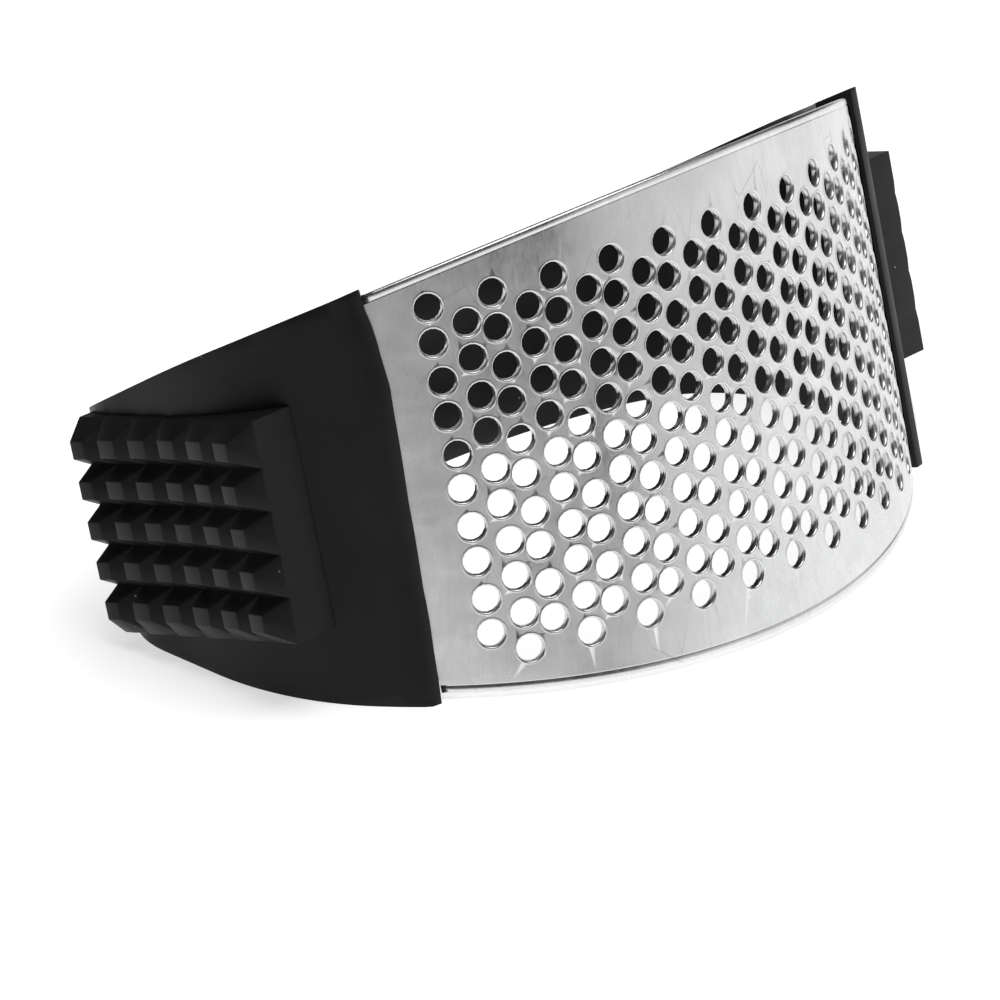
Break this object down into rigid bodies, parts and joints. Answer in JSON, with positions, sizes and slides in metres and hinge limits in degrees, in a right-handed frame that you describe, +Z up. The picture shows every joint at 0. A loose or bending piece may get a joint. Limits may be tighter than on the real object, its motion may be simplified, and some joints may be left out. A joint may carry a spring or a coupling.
{
  "type": "garlic press",
  "caption": "Curved perforated steel rocker plate closed to a ring by a black plastic frame with a toothed grip pad at each side, rocked over garlic by hand.",
  "frame": {"origin": "centre of the bounding box on the surface that the object stands on", "axes": "+Z up in the resting pose, standing on one long side edge; X along the rocker's length from grip to grip; the convex face of the plate looks to -Y and the back bar to +Y; the hollow between plate and back bar opens up and down"},
  "size_m": [0.132, 0.0806, 0.0608],
  "materials": {
    "stainless_steel": "satin brushed stainless steel",
    "black_plastic": "matte black moulded plastic"
  },
  "bodies": {
    "root": {"plate": "stainless_steel", "frame": "black_plastic", "grip_pad_left": "black_plastic", "grip_pad_right": "black_plastic"}
  },
  "joints": []
}
